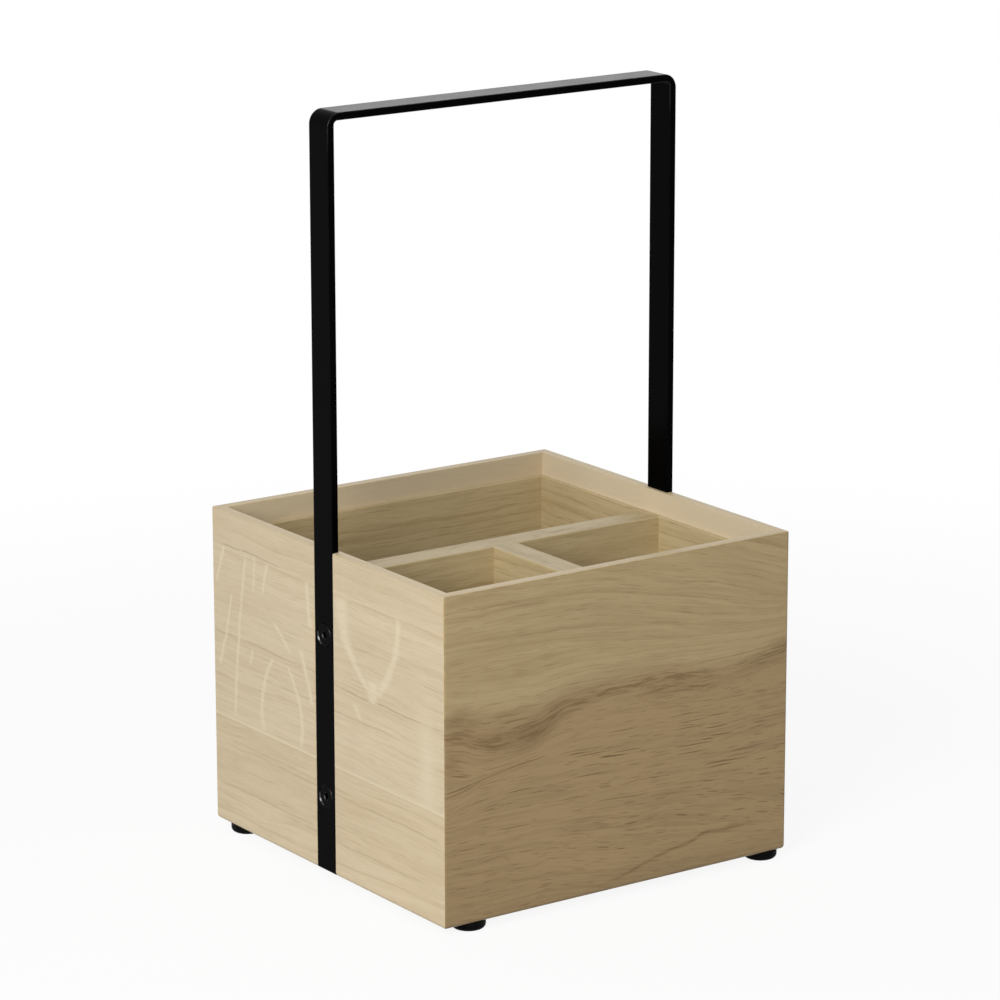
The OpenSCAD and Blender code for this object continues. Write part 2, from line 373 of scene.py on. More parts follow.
@node_group("Oak grain")
def oak_grain(
    net, along=0.0, across=0.0, depth=0.0, board=0.0, late_wood=(0.5, 0.4, 0.25), early_wood=(0.4, 0.3, 0.16),
    pore=(0.2, 0.14, 0.07), ring_width=4.0, ring_contrast=0.6, fibre=1.5, fine_pores=0.5, long_pores=0.4,
    cloudiness=0.5,
):
    """Oak: growth rings, fibres, cloudy tone and open pores. Each board number is cut from another place."""
    along = along + board * 171.3
    across = across + board * 67.9
    depth = depth + board * 43.1
    place = (along, across, depth)

    wander = net.cloud(place, (85.0, 26.0, 26.0)) - 0.5
    waver = net.cloud(place, (14.0, 5.0, 5.0)) - 0.5
    flow = across + wander * 9.0 + waver * 0.9 + depth * 0.45
    ring = flow / ring_width
    ring = ring + net.noise(net.vector(ring * 0.31, 0.5, 0.5), 1.0) * 2.6
    phase = net.math("FRACT", ring)
    weight = net.chance(net.math("FLOOR", ring))
    early = net.math("EXPONENT", phase * -5.0) + net.ramp(phase, 0.93, 1.0)
    early = net.math("MINIMUM", early, 1.0) * net.ramp(weight, 0.0, 1.0, 0.15, 1.0)

    place_in_ring = (along, flow, depth)
    strands = net.cloud(place_in_ring, (26.0, 1.1, 1.1), 4.0, 0.62)
    bands = net.cloud(place_in_ring, (75.0, 3.4, 3.4))
    haze = net.cloud(place_in_ring, (70.0, 13.0, 13.0), 3.0, 0.55)
    mottle = net.cloud(place, (9.0, 3.2, 3.2), 3.0, 0.6)

    fine = net.dashes(along, flow, 15.0, 0.85, 0.12, 0.34)
    fine = fine * net.ramp(early, 0.0, 0.7, 0.5, 1.0)
    long = net.dashes(along, flow + 31.0, 62.0, 1.9, 0.07, 0.18)
    patch = net.cloud(place, (60.0, 8.0, 8.0), 1.0)
    long = long * net.ramp(patch, 0.32, 0.5)
    pores = net.math("MAXIMUM", fine * fine_pores, long * long_pores, clamp=True)

    shade = early * ring_contrast + (strands - 0.5) * fibre + (bands - 0.5) * (fibre * 0.8)
    shade = shade + (haze - 0.5) * 2.2 * cloudiness + (mottle - 0.5) * 0.9 * cloudiness
    shade = net.math("ADD", shade, 0.22, clamp=True)
    return {
        "Color": net.blend(pores, net.blend(shade, late_wood, early_wood), pore),
        "Roughness": 0.50 + (strands - 0.5) * 0.22 + pores * 0.22,
        "Height": strands * 0.30 - pores - early * 0.16,
    }


@node_group("Ray fleck")
def ray_fleck(
    net, along=0.0, up=0.0, top=100.0, bottom=50.0, top_place=0.0, middle_place=0.0, bottom_place=0.0,
    top_width=3.0, bottom_width=3.0,
):
    """A pale band where a ray of the wood comes to the surface, between two heights."""
    middle = (top + bottom) * 0.5
    share = (up - middle) / ((top - bottom) * 0.5)
    lean = (top_place - bottom_place) * 0.5
    bow = (top_place + bottom_place) * 0.5 - middle_place
    centre = middle_place + share * (lean + share * bow)
    centre = centre + (net.cloud((along, up), (30.0, 7.0), 3.0, 0.6) - 0.5) * 2.6
    half = net.ramp(share, -1.0, 1.0, bottom_width, top_width) * 0.5
    ragged = net.cloud((along, up), (6.0, 1.3), 3.0, 0.6)
    off = net.math("ABSOLUTE", along - centre) / half + (ragged - 0.5) * 1.2
    side = net.ramp(off, 1.6, 0.2)
    end = net.ramp(net.math("ABSOLUTE", share) + (ragged - 0.5) * 0.2, 1.02, 0.86)
    return {"Mask": side * end * net.ramp(ragged, 0.30, 0.56, 0.45, 1.0)}


@node_group("Dark streak")
def dark_streak(net, distance=0.0, width=4.0, along=0.0, across=0.0, mottling=0.7):
    """Mottled dark wood that follows a line at a given distance."""
    ragged = net.cloud((along, across), (16.0, 5.0), 3.0, 0.6)
    body = net.bell(distance + (ragged - 0.5) * (width * 1.9), width)
    grit = net.ramp(net.cloud((along, across), (13.0, 1.3), 3.0, 0.6), 0.40, 0.60)
    kept = 1.0 - mottling * (1.0 - grit)
    return {"Mask": net.math("MULTIPLY", body, kept, clamp=True)}


@node_group("Rubbed edge")
def rubbed_edge(net, edge=0.0, wear=0.5, grain_size=0.006):
    """Where an edge is rubbed, as a ragged mask."""
    place = net.axes(net.here()).values()
    ragged = net.ramp(net.cloud(place, [grain_size] * 3, 3.0, 0.6), 0.3, 0.65, 0.35, 1.0)
    return {"Mask": net.math("MULTIPLY", edge * ragged, wear, clamp=True)}


@node_group("Paler cut")
def paler_cut(net, color=(0.5, 0.4, 0.25), cut=(0.7, 0.6, 0.4), place=0.0, begins=0.0, ends=1.0, share=0.8):
    """Painted light between two places: a paler colour that stands in for the light on an inner face or on top
    of the rim.
    """
    return {"Color": net.blend(net.ramp(place, begins, ends) * share, color, cut)}


@node_group("Grain line")
def grain_line(net, along=0.0, up=0.0, height=50.0, start=-50.0, end=50.0, strength=0.5):
    """A thin broken line along the grain at a height, between two places."""
    level = up + (net.cloud((along, up), (26.0, 40.0)) - 0.5) * 3.0
    broken = net.ramp(net.cloud((along, up, 3.0), (9.0, 2.0, 1.0), 2.0, 0.6), 0.32, 0.55, 0.3, 1.0)
    begun = net.ramp(along, start - 3.0, start + 4.0)
    unended = net.ramp(along, end + 3.0, end - 4.0)
    return {"Mask": net.bell(level - height, 0.42) * (begun * unended) * strength * broken}


@node_group("Round a screw")
def round_screw(net, across=0.0, up=0.0, screw_height=0.0, radius=0.005):
    """1 within a radius of a screw's axis, and a painted glint there: gloss kept to the sides that face the
    lamp, by their direction.
    """
    rise = up - screw_height
    away = net.distance(across, rise)
    soft = 0.05 * MM
    within = net.ramp(away, radius + soft, radius - soft)
    lean = (across * 0.87 - rise * 0.48) / net.math("MAXIMUM", away, 0.01 * MM)
    shine = net.most(net.ramp(lean, 0.72, 0.93), net.ramp(lean, -0.80, -0.95) * 0.5)
    return {"Inside": within, "Glint": within * shine}


def new_material(name):
    """A material with a plain Principled shader: its net and that shader's inputs."""
    made = bpy.data.materials.new(name)
    made.use_nodes = True
    net = Net(made.node_tree)
    return made, net, net.find("BSDF_PRINCIPLED").inputs


def times(shade, *by):
    """A colour times a number, or times one number for each of its channels."""
    return [channel * each for channel, each in zip(shade, by if len(by) == 3 else by * 3)]


def board_axes(net, order):
    """Millimetres along the grain, across it and through the board, heights from the wood's lower edge."""
    inside = {axis: value * 1000.0 for axis, value in net.axes(net.here()).items()}
    inside["Z"] = inside["Z"] - WOOD_Z / MM
    return tuple(inside[axis] for axis in order)


def finish_oak(net, sockets, wood, shown, height=None, wear=0.5):
    """Lacquered oak from the grain's outputs, with the edges a little darker and smoother."""
    rubbed = rubbed_edge(net, edge=net.edge(), wear=wear, grain_size=0.005)["Mask"]
    net.fill(
        sockets, Base_Color=net.blend(rubbed, shown, net.tint(shown, 0.80, 0.77, 0.72)),
        Roughness=wood["Roughness"] - rubbed * 0.10, Normal=net.bump(height or wood["Height"], 0.00012, 0.55),
        Specular_IOR_Level=0.32, IOR=1.5,
    )


def pale_inside(net, shown, depth, outside):
    """The board's own colour outside, and a paler colour on its inner face, in from the outside: painted light
    where the lamp reaches into the box.
    """
    cut = bpy.context.scene.caddy_boards.inner_face
    begins, ends = outside - 2.0, outside - 3.5
    return paler_cut(net, color=shown, cut=cut, place=depth, begins=begins, ends=ends, share=0.72)["Color"]


def pale_rim(net, shown, up):
    """The board's own colour, and a paler, yellower colour on top of the rim: painted light from above."""
    cut = bpy.context.scene.caddy_boards.rim_oak
    begins, ends = RIM_TOP_MM - 0.4, RIM_TOP_MM - 0.1
    return paler_cut(net, color=shown, cut=cut, place=up, begins=begins, ends=ends, share=0.85)["Color"]


def marks(net, mark, along, up, names, rows):
    """One mask for each row of numbers, from a group whose inputs have these names."""
    return [mark(net, along=along, up=up, **dict(zip(names.split(), row)))["Mask"] for row in rows]


def grain_lines(net, along, up, rows):
    return net.most(*marks(net, grain_line, along, up, "height start end strength", rows))


# The front wall's line of dark wood, and two thinner ones: along the board, above its lower edge.
FRONT_STREAK = (
    (-95, 88), (-86, 86.5), (-76, 82.5), (-62, 80.8), (-48, 82.2), (-38, 87.0), (-26, 91.8),
    (-9, 93.6), (5, 94.2), (26, 95.0), (45, 93.0), (62, 92.4), (80, 94.4), (95, 98.5),
)
FRONT_LOW_LINE = (
    (-20, 2.5), (0, 5.5), (12, 8.6), (26, 12.2), (41, 14.4), (49, 17.0), (59, 16.7), (74, 16.5), (95, 14.0),
)
FRONT_LEFT_LINE = ((-95, 60.4), (-86, 61.8), (-76, 65.0), (-60, 68.2), (-45, 69.6), (-25, 70.2))

# Dark spots of the front wall: along the board, above its lower edge, half width, half height, strength.
FRONT_SPOTS = (
    (-89, 95, 10, 4.6, 0.8), (-81, 92.5, 6, 5, 0.6), (-91, 74.5, 6, 5, 0.6), (93, 98.5, 8, 2.8, 0.9),
)


def front_oak():
    """The front wall: one board whose grain flows round a dark streak."""
    looks = bpy.context.scene.caddy_boards
    made, net, sockets = new_material("Front oak")
    along, up, depth = board_axes(net, "XZY")

    # The grain bends to the streak above its usual level, to the left line, and down towards the lower right.
    streak_up, streak_level = net.curve(along, FRONT_STREAK), 92.0
    rise = up - streak_up
    near = net.bell(rise, net.ramp(rise, -4.0, 4.0, 11.0, 17.0)) * 0.75
    past = net.math("MAXIMUM", along + 40.0, 0.0)
    droop = past * past * net.ramp(up, 94.0, 124.0, 0.0, 0.0013)
    flow = up + along * 0.03 + (droop + past * net.bell(up - 14.0, 22.0) * 0.10)
    flow = flow - (streak_up - streak_level) * near
    left_up = net.curve(along, FRONT_LEFT_LINE)
    flow = flow - (left_up - FRONT_LEFT_LINE[-1][1]) * net.bell(up - left_up, 11.0)

    heart = net.ramp(rise - net.bell(along + 66.0, 28.0) * 13.0, 10.0, -9.0)
    middle = net.bell(up - 62.0, 24.0)
    wood = oak_grain(
        net, along=along, across=flow, depth=depth, board=1.0, pore=looks.tan_pore,
        late_wood=net.blend(heart, looks.tan_oak, looks.heart_oak),
        early_wood=net.blend(heart, looks.tan_early, times(looks.heart_oak, 0.86)),
        ring_width=6.0, ring_contrast=0.45, fibre=1.8 + heart * 1.9,
        fine_pores=0.42 + heart * 0.50, long_pores=0.30 + middle * 0.70, cloudiness=0.45,
    )

    def streak(off, width, mottling, across=flow):
        values = {"distance": off, "width": width, "along": along, "across": across, "mottling": mottling}
        return dark_streak(net, **values)["Mask"]

    main = streak(rise, 3.2 + net.bell(along + 48.0, 22.0) * 2.8, 0.75)
    main = main * net.ramp(net.math("ABSOLUTE", along - 60.0), 4.0, 22.0, 0.45, 1.0)
    under = streak(rise + 5.5, 2.2, 0.85)
    under = under * (net.ramp(along, 5.0, 22.0) * net.ramp(along, 54.0, 44.0, 0.25, 1.0))
    low = streak(up - net.curve(along, FRONT_LOW_LINE), 0.9, 0.45, up)
    low = low * (net.ramp(along, -20.0, 12.0) * net.ramp(along, 90.0, 62.0))
    left = streak(up - left_up, 0.5, 0.4, up) * net.ramp(along, -38.0, -62.0)
    spots = [
        streak(net.distance((along - x) / wide, (up - z) / high), 0.95, 0.35) * strength
        for x, z, wide, high, strength in FRONT_SPOTS
    ]
    dark = net.most(main, under, low * 0.9, left * 0.8, *spots)
    slits = net.dashes(along, flow + 57.0, 62.0, 1.6, 0.09, 0.24)
    slits = slits * (net.bell(up - 60.0, 28.0) * net.ramp(rise, 2.0, -3.0))

    shown = net.blend(slits * 0.8, wood["Color"], looks.tan_pore)
    # Darker towards the bottom, to the lower left, beside the streak and in a band near the top: partly the
    # board's own darker tone, partly painted shade where less light falls on the front
    dim = net.most(
        net.ramp(along, -10.0, -90.0) * net.ramp(up, 50.0, 5.0) * 0.45,
        net.ramp(up, 13.0, 3.0) * 0.55,
        net.bell(rise - 2.0, 8.0) * (net.bell(along + 46.0, 24.0) * 0.70 + 0.10),
        net.bell(up - 131.0, 9.0) * (net.bell(along + 20.0, 40.0) * 0.28),
    )
    shown = net.blend(net.math("MINIMUM", dim, 1.0), shown, net.tint(shown, 0.80, 0.79, 0.78))
    shown = pale_rim(net, net.blend(dark * 0.80, shown, looks.streak), up)
    finish_oak(net, sockets, wood, shown, wood["Height"] - net.most(dark, slits) * 0.12, 0.8)
    return made


def back_oak():
    """The back wall: a plainer board of the same wood."""
    looks = bpy.context.scene.caddy_boards
    made, net, sockets = new_material("Back oak")
    along, up, depth = board_axes(net, "XZY")
    wood = oak_grain(
        net, along=along, across=up + (along - 12.0) * (along - 12.0) * 0.0016, depth=depth, board=2.0,
        late_wood=looks.tan_oak, early_wood=looks.tan_early, pore=looks.tan_pore,
        ring_width=7.5, ring_contrast=0.7, fine_pores=0.42, long_pores=0.5, cloudiness=0.6,
    )
    shown = pale_inside(net, wood["Color"], depth, HALF_D / MM)
    finish_oak(net, sockets, wood, pale_rim(net, shown, up), wear=0.8)
    return made


# Ray flecks of a side wall's upper stave, in the order of this group's inputs: the heights of its ends, its
# places along the board from the top down, and its widths.
FLECK_INPUTS = "top bottom top_place middle_place bottom_place top_width bottom_width"
LEFT_FLECKS = (
    (135.0, 116.0, 84.5, 88.0, 92.0, 2.6, 2.0),
    (114.0, 76.0, 78.0, 83.0, 90.0, 1.6, 2.6),
    (135.5, 53.0, 65.3, 72.4, 77.0, 2.0, 2.4),
    (136.0, 118.0, 58.0, 58.6, 59.4, 1.8, 1.4),
    (134.5, 118.5, 47.2, 49.8, 51.8, 2.6, 1.6),
    (91.5, 53.0, 42.5, 52.3, 51.6, 2.4, 3.2),
    (90.5, 83.0, 61.0, 61.7, 62.6, 2.0, 1.6),
    (90.5, 53.0, 31.5, 20.4, 20.4, 2.6, 3.4),
    (108.0, 96.0, 43.0, 34.5, 28.5, 4.2, 2.4),
    (101.0, 76.0, 19.5, 14.6, 10.5, 3.4, 3.0),
    (134.0, 112.0, 14.4, 12.8, 11.2, 2.6, 3.2),
    (134.0, 93.0, -15.5, -18.0, -38.5, 10.0, 5.0),
    (134.0, 92.0, -59.5, -56.0, -41.0, 3.4, 6.0),
    (100.0, 89.5, -40.0, -39.5, -39.0, 11.0, 7.0),
    (86.0, 79.5, -25.0, -26.4, -29.5, 3.6, 2.6),
)
RIGHT_FLECKS = (
    (133.0, 71.0, -78.0, -70.0, -73.0, 2.2, 3.2),
    (139.0, 108.0, -60.0, -56.0, -51.0, 2.0, 2.6),
    (102.0, 57.0, -44.0, -36.0, -37.5, 2.6, 3.6),
    (137.0, 96.0, -24.0, -19.0, -31.0, 3.0, 5.5),
    (93.0, 55.0, 17.0, 21.0, 31.0, 3.6, 2.4),
    (140.0, 88.0, 38.0, 45.0, 43.0, 3.6, 2.6),
    (120.0, 70.0, 66.0, 58.0, 60.0, 2.2, 3.6),
    (134.0, 104.0, 82.0, 76.0, 73.0, 4.6, 2.6),
    (84.0, 58.0, 86.0, 80.0, 78.0, 2.2, 3.0),
)

# Dark grain lines of the left wall: height, start, end, strength.
LEFT_LINES = (
    (135.5, 38.0, 86.0, 0.8),
    (90.4, -93.0, -14.0, 0.8),
    (93.0, 8.0, 95.0, 0.6),
    (78.6, -60.0, 60.0, 0.5),
    (112.5, -70.0, 20.0, 0.35),
)
LEFT_LOW_LINES = (
    (17.2, -80.0, 30.0, 0.6),
    (19.4, 10.0, 90.0, 0.6),
    (39.4, -90.0, 40.0, 0.6),
    (42.0, -20.0, 80.0, 0.5),
)


def side_upper_oak(name, board, flecks, lines=()):
    """An upper side stave, sawn so that the wood's rays show on its face."""
    looks = bpy.context.scene.caddy_boards
    made, net, sockets = new_material(name)
    along, up, depth = board_axes(net, "YZX")
    wood = oak_grain(
        net, along=along, across=up, depth=depth, board=board,
        late_wood=looks.pale_oak, early_wood=looks.pale_early, pore=looks.pale_pore,
        ring_width=net.ramp(up, 90.0, 140.0, 2.9, 6.0), ring_contrast=0.62,
        fine_pores=0.34, long_pores=0.30, cloudiness=0.30,
    )
    seam = net.ramp(up, GLUE_Z_MM + 2.2, GLUE_Z_MM + 0.6) * 0.75
    corner = net.bell(along + 82.0, 7.5) * net.bell(up - 70.0, 26.0) * 0.75
    calm = net.ramp(up, 134.0, 136.5)
    rays = net.most(*marks(net, ray_fleck, along, up, FLECK_INPUTS, flecks), seam, corner) * (1.0 - calm)
    shown = net.blend(calm * 0.28, wood["Color"], looks.pale_early)
    if lines:
        shown = net.blend(grain_lines(net, along, up, lines) * 0.8, shown, looks.pale_pore)
    shown = net.blend(rays * 0.68, shown, looks.fleck)
    shown = pale_rim(net, pale_inside(net, shown, net.math("ABSOLUTE", depth), HALF_W / MM), up)
    finish_oak(net, sockets, wood, shown, wood["Height"] * (1.0 - rays * 0.7))
    return made


def side_lower_oak(name, board, lines=()):
    """A lower side stave, plainer and a little warmer, with painted light that makes it paler towards its
    bottom.
    """
    looks = bpy.context.scene.caddy_boards
    made, net, sockets = new_material(name)
    along, up, depth = board_axes(net, "YZX")
    warmer = (0.965, 0.955, 0.925)
    wood = oak_grain(
        net, along=along, across=up + along * 0.02, depth=depth, board=board,
        late_wood=times(looks.pale_oak, *warmer), early_wood=times(looks.pale_early, *warmer),
        pore=looks.pale_pore,
        ring_width=7.5, ring_contrast=0.55, fine_pores=0.34, long_pores=0.30, cloudiness=0.45,
    )
    # Painted light: paler towards the bottom, where the lamp leaves the stave darker
    shown = net.blend(net.ramp(up, 27.0, 5.0), wood["Color"], net.tint(wood["Color"], 1.06, 1.07, 1.09))
    shown = net.blend(net.ramp(up, GLUE_Z_MM - 1.6, GLUE_Z_MM - 0.1) * 0.35, shown, looks.pale_early)
    if lines:
        shown = net.blend(grain_lines(net, along, up, lines) * 0.7, shown, looks.pale_pore)
    finish_oak(net, sockets, wood, shown)
    return made


def inner_oak(name, board, order, ring=5.0):
    """A board inside the box, its grain along the first of the three axes. Its colours are darker than the
    walls': partly the inner boards' own tone, partly painted shade of the box's interior.
    """
    looks = bpy.context.scene.caddy_boards
    made, net, sockets = new_material(name)
    along, across, depth = board_axes(net, order)
    wood = oak_grain(
        net, along=along, across=across, depth=depth, board=board,
        late_wood=looks.inner_oak, early_wood=looks.inner_early, pore=looks.tan_pore,
        ring_width=ring, ring_contrast=0.65, fine_pores=0.38, long_pores=0.40, cloudiness=0.55,
    )
    finish_oak(net, sockets, wood, wood["Color"])
    return made


def round_screws(net, at, radius):
    """The same two masks for both screws of a side."""
    across, up = list(net.axes(at).values())[1:]
    found = [round_screw(net, across=across, up=up, screw_height=z, radius=radius) for z in screw_heights()]
    return tuple(net.most(*(each[name] for each in found)) for name in ("Inside", "Glint"))


def powder_coat():
    """The bar's fine matt coat, with painted highlights: glossier in the countersinks on the sides that face
    the lamp, and on the edges near the bends.
    """
    looks = bpy.context.scene.caddy_handle
    made, net, sockets = new_material("Black powder coat")
    at = net.here()
    peel = net.noise(at, scale=1500.0)
    broad = net.noise(at, 3.0, 0.55, scale=60.0)
    rubbed = rubbed_edge(net, edge=net.edge(), wear=0.6, grain_size=0.004)["Mask"]
    sunk, polish = round_screws(net, at, looks.countersink / 2)
    # Painted highlight: the edges are glossy only near the bends, where they catch the lamp
    high = net.ramp(net.axes(at)["Z"], STRAP_HIGH.z - 20 * MM, STRAP_HIGH.z - 9 * MM, 0.08, 0.7)
    net.fill(
        sockets, Base_Color=net.blend(rubbed * 0.5, looks.coat, times(looks.coat, 2.4)),
        Roughness=looks.roughness - 0.05 + broad * 0.10 - rubbed * 0.08,
        Normal=net.bump(peel * 0.7 + broad * 0.3, 0.00006, 0.35), Specular_IOR_Level=0.011,
        Coat_Weight=net.most(rubbed * high, sunk * net.ramp(polish, 0.0, 1.0, 0.04, 1.0)),
        Coat_Roughness=0.15, Coat_IOR=1.6,
    )
    return made


def black_plating():
    """The screws' plating, its edges bright where they face the light."""
    looks = bpy.context.scene.caddy_screws
    made, net, sockets = new_material("Black plating")
    at = net.here()
    speck = net.noise(at, 3.0, 0.6, scale=900.0)
    # Painted glint: the plating's coat only on the sides of the head and socket that face the lamp
    polish = round_screws(net, at, looks.head_width)[1]
    net.fill(
        sockets, Base_Color=net.blend(net.ramp(speck, 0.5, 0.8), looks.plating, times(looks.plating, 2.2)),
        Roughness=0.12 + speck * 0.12, Normal=net.bump(speck, 0.00003, 0.25), Specular_IOR_Level=0.012,
        Coat_Weight=net.edge() * net.ramp(polish, 0.0, 1.0, 0.10, 1.0), Coat_Roughness=0.12, Coat_IOR=1.6,
    )
    return made


def turned_brass():
    """The inserts' brass, with tool marks round their axis."""
    looks = bpy.context.scene.caddy_screws
    made, net, sockets = new_material("Turned brass")
    at = net.here()
    tool_marks = net.math("SINE", net.axes(at)["X"] * (2 * pi / (0.7 * MM)))
    stain = net.noise(at, 3.0, 0.6, scale=400.0)
    net.fill(
        sockets, Base_Color=net.blend(net.ramp(stain, 0.4, 0.75), looks.brass, times(looks.brass, 0.62)),
        Roughness=0.22 + stain * 0.25, Normal=net.bump(tool_marks, 0.0001, 0.5), Metallic=1.0,
    )
    return made


def moulded_rubber():
    """The feet's matt black rubber, with a little bloom."""
    looks = bpy.context.scene.caddy_feet
    made, net, sockets = new_material("Moulded rubber")
    bloom = net.noise(net.here(), 4.0, 0.6, scale=260.0)
    skin = net.noise(net.here(), scale=2200.0)
    net.fill(
        sockets, Base_Color=net.blend(net.ramp(bloom, 0.5, 0.85), looks.rubber, times(looks.rubber, 2.0)),
        Roughness=0.36 + bloom * 0.2, Normal=net.bump(skin, 0.00004, 0.4), Specular_IOR_Level=0.03,
    )
    return made


# Meshes

# Points round a turned piece, and the distance within which two points are one
ROUND = 48
SAME_POINT = 0.002 * MM


def arc(count, start=0.0, sweep=90.0):
    """So many angles in radians, spread evenly from start over sweep, which are in degrees."""
    return [radians(start + sweep * k / (count - 1)) for k in range(count)]


def link(name, data):
    """A new object with this data, in the scene."""
    made = bpy.data.objects.new(name, data)
    bpy.context.scene.collection.objects.link(made)
    return made


def new_piece(name, points, faces, worn, sharp=35.0):
    """A piece of the object from points, faces and how far each point's edge wears."""
    mesh = bpy.data.meshes.new(name)
    mesh.from_pydata([tuple(p) for p in points], [], faces)
    work = bmesh.new()
    work.from_mesh(mesh)
    layer = work.verts.layers.float.new("edge")
    for vertex, value in zip(work.verts, worn):
        vertex[layer] = value
    bmesh.ops.remove_doubles(work, verts=work.verts, dist=SAME_POINT)
    bmesh.ops.dissolve_degenerate(work, dist=SAME_POINT / 2, edges=work.edges)
    bmesh.ops.recalc_face_normals(work, faces=work.faces)
    work.to_mesh(mesh)
    work.free()
    piece = link(name, mesh)
    shade(piece, sharp)
    return piece


def shade(piece, sharp=35.0):
    """Smooth shading but for the edges sharper than this many degrees."""
    piece.data.shade_smooth()
    piece.data.set_sharp_from_angle(angle=radians(sharp))
    even = piece.modifiers.new("Even shading", "WEIGHTED_NORMAL")
    even.keep_sharp = True
    even.weight = 100


def cut(piece, cutters):
    """Takes the cutters out of the piece and removes them."""
    piece.modifiers.clear()
    for cutter in cutters:
        change = piece.modifiers.new("Cut", "BOOLEAN")
        change.operation, change.solver, change.object = "DIFFERENCE", "EXACT", cutter
    bpy.context.view_layer.update()
    done = bpy.data.meshes.new_from_object(piece.evaluated_get(bpy.context.evaluated_depsgraph_get()))
    piece.modifiers.clear()
    piece.data = done
    for cutter in cutters:
        bpy.data.objects.remove(cutter)
    shade(piece)


def drill(centre, diameter, depth):
    """A cylinder along X, to cut a hole with."""
    work = bmesh.new()
    turn = Matrix.Translation(centre) @ Matrix.Rotation(pi / 2, 4, "Y")
    radius = diameter / 2
    bmesh.ops.create_cone(
        work, cap_ends=True, segments=ROUND, radius1=radius, radius2=radius, depth=depth, matrix=turn
    )
    mesh = bpy.data.meshes.new("drill")
    work.to_mesh(mesh)
    work.free()
    return link("drill", mesh)


def finish(part, material):
    part.data.materials.clear()
    part.data.materials.append(material)


def settle(piece, node, slot, material):
    """The piece stands for the CAD node, rides with the frame and takes its finish."""
    finish(piece, material)
    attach(piece, "root")
    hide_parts(node)


def rings_to_faces(count, rings):
    """Quads between rings of so many points each, and a face over each end."""
    faces = []
    for k in range(rings - 1):
        low, high = k * count, (k + 1) * count
        beside = [(i, (i + 1) % count) for i in range(count)]
        faces += [(low + i, low + j, high + j, high + i) for i, j in beside]
    return [*faces, tuple(range(count))[::-1], tuple(range((rings - 1) * count, rings * count))]


def wall_board(name, long, out_from, turn, low, high, groove=0.0, round_low=True, round_high=True):
    """A wall board with mitred ends. Its plan is drawn at each height, drawn in where an edge is rounded.
    long is its length, out_from the distance of its outer face from the middle, and turn its quarter turns
    from the front."""
    sizes = bpy.context.scene.caddy_boards
    bottom_r, outer_r, inner_r = sizes.bottom_radius, sizes.rim_outer_radius, sizes.rim_inner_radius
    tight, least_radius = 0.06 * MM, 0.05 * MM

    heights = [low]
    if round_low:
        heights = [low + bottom_r * (1 - cos(a)) for a in arc(9)] + [low + bottom_r + tight]
    if round_high:
        heights += [high - outer_r - tight] + [high - outer_r * (1 - sin(a)) for a in arc(9)]
    else:
        heights += [high]

    def inset(radius, into):
        """How far an edge of this radius draws in, so far into it."""
        return radius - sqrt(max(radius * radius - into * into, 0.0)) if into > 0 else 0.0

    points, worn = [], []
    for z in heights:
        outer = inset(bottom_r, bottom_r - (z - low)) if round_low else 0.0
        outer += inset(outer_r, outer_r - (high - z)) if round_high else 0.0
        inner = inset(inner_r, inner_r - (high - z)) if round_high else 0.0
        share = outer / (bottom_r if z < (low + high) / 2 else outer_r)
        # Only the rows of a rounding wear, and not the last one, where the flat face begins.
        rounded = 1.0 if 0 < share < 0.96 else 0.0
        radius = max(sizes.corner_radius - outer, least_radius)
        reach = outer + radius
        end, back = long / 2 - reach, WALL_T - inner
        # Points of the plan: along the board, in from its outer face, and whether the edge there wears.
        plan = [
            (-end + radius * cos(a), reach + radius * sin(a), 1.0 if k < 4 else 0.0)
            for k, a in enumerate(arc(6, 225, 45))
        ]
        plan.append((-end + tight, outer, 0.0))
        if groove:
            half, arris = groove / 2, sizes.groove_arris
            side = [(-half - arris - tight, outer, 0.0)]
            for k, a in enumerate(arc(5, 270)):
                edge = 1.0 if 0 < k < 4 else 0.0
                side.append((-half - arris + arris * cos(a), outer + arris + arris * sin(a), edge))
            side += [(-half, outer + arris + tight, 0.0), (-half, STRAP_T, 0.0)]
            plan += side + [(-s, d, e) for s, d, e in reversed(side)]
        plan.append((end - tight, outer, 0.0))
        plan += [
            (end + radius * cos(a), reach + radius * sin(a), 1.0 if k > 1 else 0.0)
            for k, a in enumerate(arc(6, 270, 45))
        ]
        plan += [(sign * (long / 2 - back), back, rounded if inner else 0.0) for sign in (1, -1)]
        for s, d, e in plan:
            x, y = s, -out_from + d
            for _ in range(turn):
                x, y = -y, x
            points.append((x, y, z))
            worn.append(max(e, rounded if d < STRAP_T * 0.9 else 0.0))
    count = len(points) // len(heights)
    return new_piece(name, points, rings_to_faces(count, len(heights)), worn)


def screw_heights():
    return [sum(corner.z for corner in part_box(node)) / 2 for node in ("screw_left_upper", "screw_left_lower")]


def lathe(rings, origin, axis, name, sharp=30.0):
    """A turned solid. Each ring is its distance along the axis, its radius or a function that gives one for
    each angle, and its edge value."""
    side = axis.orthogonal().normalized()
    if abs(axis.x) > 0.5:
        side = Vector((0, 0, 1))
    other = axis.cross(side)
    points, worn = [], []
    for along, radius, *edge in rings:
        worn += [edge[0] if edge else 0.0] * ROUND
        for k in range(ROUND):
            angle = 2 * pi * k / ROUND
            r = radius(angle) if callable(radius) else radius
            points.append(origin + axis * along + (side * cos(angle) + other * sin(angle)) * r)
    return new_piece(name, points, rings_to_faces(ROUND, len(rings)), worn, sharp)


# Operators


